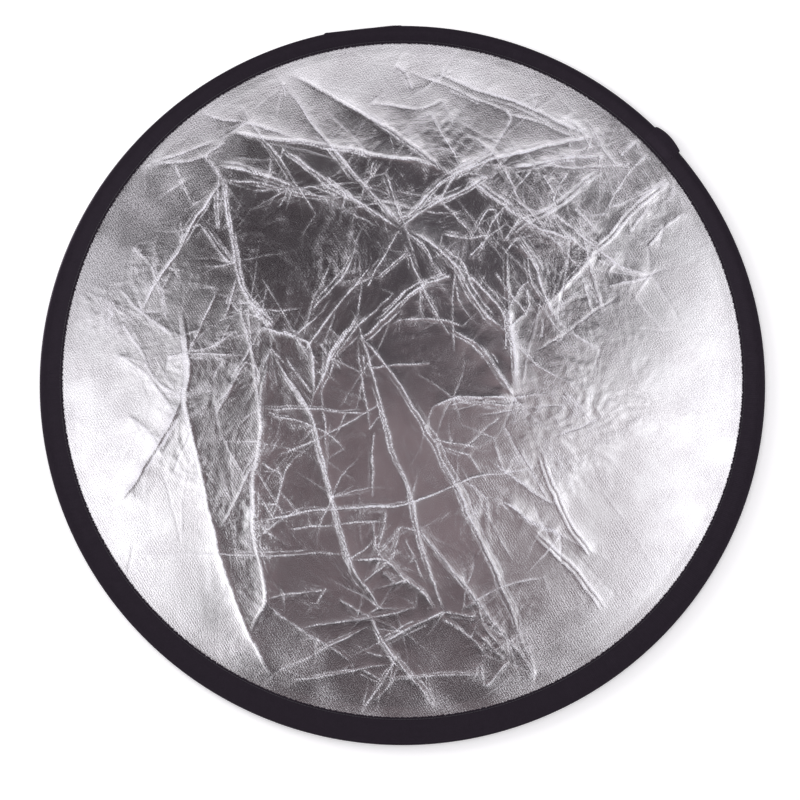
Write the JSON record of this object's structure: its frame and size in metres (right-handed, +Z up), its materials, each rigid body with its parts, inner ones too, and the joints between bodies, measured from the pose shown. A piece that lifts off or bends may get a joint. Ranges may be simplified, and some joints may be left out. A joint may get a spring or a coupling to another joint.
{
  "type": "collapsible reflector disc",
  "caption": "Round collapsible light reflector: silver and gold cloth panels held in a sprung steel hoop by a black sewn binding.",
  "frame": {"origin": "on the resting plane, under the centre of the disc", "axes": "+Z up out of the silver face; +Y towards the side where the hoop's sleeve is; the disc folds about X"},
  "size_m": [0.5998, 0.6, 0.0063],
  "materials": {
    "silver_cloth": "satin",
    "gold_cloth": "satin",
    "binding_cloth": "matte",
    "seam_thread": "matte",
    "spring_steel": "satin",
    "sleeve_steel": "satin",
    "wrap_plastic": "matte"
  },
  "bodies": {
    "bottom_wing": {"silver_panel_bottom_wing": "silver_cloth", "gold_panel_bottom_wing": "gold_cloth", "spring_hoop_bottom_wing": "spring_steel", "rim_binding_bottom_wing": "binding_cloth", "needle_thread_bottom_wing": "seam_thread", "bobbin_thread_bottom_wing": "seam_thread"},
    "lower_outer": {"silver_panel_lower_outer": "silver_cloth", "gold_panel_lower_outer": "gold_cloth", "spring_hoop_lower_outer": "spring_steel", "rim_binding_lower_outer": "binding_cloth", "needle_thread_lower_outer": "seam_thread", "bobbin_thread_lower_outer": "seam_thread"},
    "lower_inner": {"silver_panel_lower_inner": "silver_cloth", "gold_panel_lower_inner": "gold_cloth", "spring_hoop_lower_inner": "spring_steel", "rim_binding_lower_inner": "binding_cloth", "needle_thread_lower_inner": "seam_thread", "bobbin_thread_lower_inner": "seam_thread"},
    "centre": {"silver_panel_centre": "silver_cloth", "gold_panel_centre": "gold_cloth", "spring_hoop_centre": "spring_steel", "rim_binding_centre": "binding_cloth", "needle_thread_centre": "seam_thread", "bobbin_thread_centre": "seam_thread"},
    "upper_inner": {"silver_panel_upper_inner": "silver_cloth", "gold_panel_upper_inner": "gold_cloth", "spring_hoop_upper_inner": "spring_steel", "rim_binding_upper_inner": "binding_cloth", "needle_thread_upper_inner": "seam_thread", "bobbin_thread_upper_inner": "seam_thread"},
    "upper_outer": {"silver_panel_upper_outer": "silver_cloth", "gold_panel_upper_outer": "gold_cloth", "spring_hoop_upper_outer": "spring_steel", "rim_binding_upper_outer": "binding_cloth", "needle_thread_upper_outer": "seam_thread", "bobbin_thread_upper_outer": "seam_thread"},
    "top_wing": {"silver_panel_top_wing": "silver_cloth", "gold_panel_top_wing": "gold_cloth", "spring_hoop_top_wing": "spring_steel", "rim_binding_top_wing": "binding_cloth", "needle_thread_top_wing": "seam_thread", "bobbin_thread_top_wing": "seam_thread", "splice_sleeve": "sleeve_steel", "splice_rivets": "sleeve_steel", "splice_wrap": "wrap_plastic", "binding_lap": "binding_cloth"}
  },
  "joints": [
    {"name": "upper_inner_fold", "type": "hinge", "parent": "centre", "child": "upper_inner", "pos_m": [0, 0.03, 0.006], "axis": [1, 0, 0], "range_deg": [0, 30], "stiffness_Nm_per_rad": 1.1},
    {"name": "upper_outer_fold", "type": "hinge", "parent": "upper_inner", "child": "upper_outer", "pos_m": [0, 0.09, 0.006], "axis": [1, 0, 0], "range_deg": [0, 30], "stiffness_Nm_per_rad": 1.1},
    {"name": "top_wing_fold", "type": "hinge", "parent": "upper_outer", "child": "top_wing", "pos_m": [0, 0.15, 0.006], "axis": [1, 0, 0], "range_deg": [0, 30], "stiffness_Nm_per_rad": 1.1},
    {"name": "lower_inner_fold", "type": "hinge", "parent": "centre", "child": "lower_inner", "pos_m": [0, -0.03, 0.006], "axis": [-1, 0, 0], "range_deg": [0, 30], "stiffness_Nm_per_rad": 1.1},
    {"name": "lower_outer_fold", "type": "hinge", "parent": "lower_inner", "child": "lower_outer", "pos_m": [0, -0.09, 0.006], "axis": [-1, 0, 0], "range_deg": [0, 30], "stiffness_Nm_per_rad": 1.1},
    {"name": "bottom_wing_fold", "type": "hinge", "parent": "lower_outer", "child": "bottom_wing", "pos_m": [0, -0.15, 0.006], "axis": [-1, 0, 0], "range_deg": [0, 30], "stiffness_Nm_per_rad": 1.1}
  ],
  "couplings": [
    {"joint": "upper_outer_fold", "follows": "upper_inner_fold", "ratio": 1},
    {"joint": "top_wing_fold", "follows": "upper_inner_fold", "ratio": 1},
    {"joint": "lower_inner_fold", "follows": "upper_inner_fold", "ratio": 1},
    {"joint": "lower_outer_fold", "follows": "upper_inner_fold", "ratio": 1},
    {"joint": "bottom_wing_fold", "follows": "upper_inner_fold", "ratio": 1}
  ]
}
